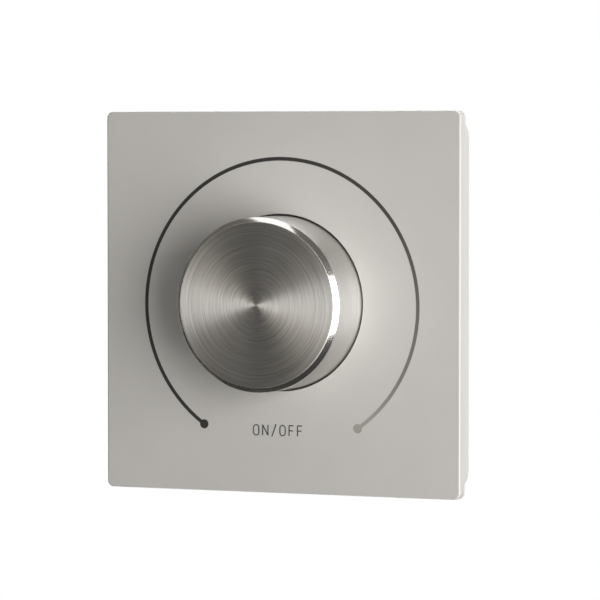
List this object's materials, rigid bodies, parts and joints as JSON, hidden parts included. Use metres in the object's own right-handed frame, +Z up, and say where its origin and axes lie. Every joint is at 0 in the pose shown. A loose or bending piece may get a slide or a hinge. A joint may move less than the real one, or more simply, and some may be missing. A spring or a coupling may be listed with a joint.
{
  "type": "rotary dimmer switch",
  "caption": "Wall-mounted rotary dimmer with a square plate, a round push-and-turn knob, a scale arc and a closed housing behind the wall plane.",
  "frame": {"origin": "middle of the wall plane, on the back face of the mounting frame and on the knob's axis", "axes": "+Y into the wall along the knob's axis, +X to the right as seen from the room, +Z up"},
  "size_m": [0.086, 0.045, 0.086],
  "materials": {
    "plate": "silver lacquer, satin",
    "frame": "silver-grey moulding",
    "knob_metal": "spun-brushed face, polished chamfer, satin side",
    "knob_insert": "moulded",
    "spring_steel": "plain",
    "shaft": "turned",
    "brass": "plain",
    "zinc_steel": "zinc plated",
    "pot_plastic": "moulded",
    "wafer": "laminate",
    "carbon": "printed carbon",
    "rotor_plastic": "moulded",
    "switch_plastic": "moulded",
    "housing": "moulded, fine grain",
    "board": "glass laminate with green lacquer",
    "ferrite": "sintered",
    "copper": "enamelled wire",
    "film_box": "moulded",
    "can": "sleeved",
    "resistor": "coated",
    "epoxy": "moulded",
    "tinned": "tinned",
    "sink": "extruded",
    "fuse_glass": "clear",
    "nickel": "nickel plated",
    "block": "moulded"
  },
  "bodies": {
    "base": {"front_plate": "plate", "support_frame": "frame", "rear_housing": "housing", "housing_screws": "zinc_steel", "main_board": "board", "board_screws": "zinc_steel", "pot_bushing": "brass", "pot_nut": "zinc_steel", "lock_washer": "zinc_steel", "pot_case": "pot_plastic", "track_wafer": "wafer", "carbon_track": "carbon", "pot_terminals": "tinned", "switch_cover": "switch_plastic", "switch_case": "switch_plastic", "switch_contacts": "tinned", "switch_spring": "spring_steel", "choke_core": "ferrite", "choke_winding": "copper", "film_capacitor": "film_box", "timing_capacitor": "can", "gate_resistors": "resistor", "triac_package": "epoxy", "triac_tab": "tinned", "triac_leads": "tinned", "heat_sink": "sink", "heat_sink_screw": "zinc_steel", "fuse_tube": "fuse_glass", "fuse_caps": "nickel", "fuse_clips": "nickel", "terminal_block": "block", "terminal_bars": "brass"},
    "carriage": {"switch_plunger": "rotor_plastic", "moving_contact": "brass"},
    "knob": {"knob_shell": "knob_metal", "knob_core": "knob_insert", "hub_ring": "spring_steel", "pot_shaft": "shaft", "shaft_clip": "spring_steel"},
    "wiper": {"wiper_disc": "rotor_plastic", "wiper_contact": "brass"},
    "clamp_screw_1": {"terminal_screw_1": "zinc_steel"},
    "clamp_screw_2": {"terminal_screw_2": "zinc_steel"},
    "clamp_screw_3": {"terminal_screw_3": "zinc_steel"},
    "clamp_cage_1": {"terminal_cage_1": "brass"},
    "clamp_cage_2": {"terminal_cage_2": "brass"},
    "clamp_cage_3": {"terminal_cage_3": "brass"}
  },
  "joints": [
    {"name": "knob_push", "type": "slide", "parent": "base", "child": "carriage", "axis": [0, 1, 0], "range_m": [0, 0.0015], "stiffness_N_per_m": 2000, "springref_m": -0.001, "deforming": ["switch_spring"]},
    {"name": "knob_turn", "type": "hinge", "parent": "carriage", "child": "knob", "pos_m": [0, 0, 0], "axis": [0, 1, 0], "range_deg": [-145.5, 145.5]},
    {"name": "wiper_turn", "type": "hinge", "parent": "base", "child": "wiper", "pos_m": [0, 0, 0], "axis": [0, 1, 0], "range_deg": [-145.5, 145.5]},
    {"name": "clamp_turn_1", "type": "hinge", "parent": "base", "child": "clamp_screw_1", "pos_m": [-0.0092, 0, -0.0198], "axis": [0, -1, 0], "range_deg": [0, 1800]},
    {"name": "clamp_turn_2", "type": "hinge", "parent": "base", "child": "clamp_screw_2", "pos_m": [0, 0, -0.0198], "axis": [0, -1, 0], "range_deg": [0, 1800]},
    {"name": "clamp_turn_3", "type": "hinge", "parent": "base", "child": "clamp_screw_3", "pos_m": [0.0092, 0, -0.0198], "axis": [0, -1, 0], "range_deg": [0, 1800]},
    {"name": "cage_lift_1", "type": "slide", "parent": "base", "child": "clamp_cage_1", "axis": [0, 1, 0], "range_m": [0, 0.003]},
    {"name": "cage_lift_2", "type": "slide", "parent": "base", "child": "clamp_cage_2", "axis": [0, 1, 0], "range_m": [0, 0.003]},
    {"name": "cage_lift_3", "type": "slide", "parent": "base", "child": "clamp_cage_3", "axis": [0, 1, 0], "range_m": [0, 0.003]}
  ],
  "couplings": [
    {"joint": "wiper_turn", "follows": "knob_turn", "ratio": 1},
    {"joint": "clamp_turn_1", "follows": "cage_lift_1", "rad_per_m": 10472},
    {"joint": "clamp_turn_2", "follows": "cage_lift_2", "rad_per_m": 10472},
    {"joint": "clamp_turn_3", "follows": "cage_lift_3", "rad_per_m": 10472}
  ]
}
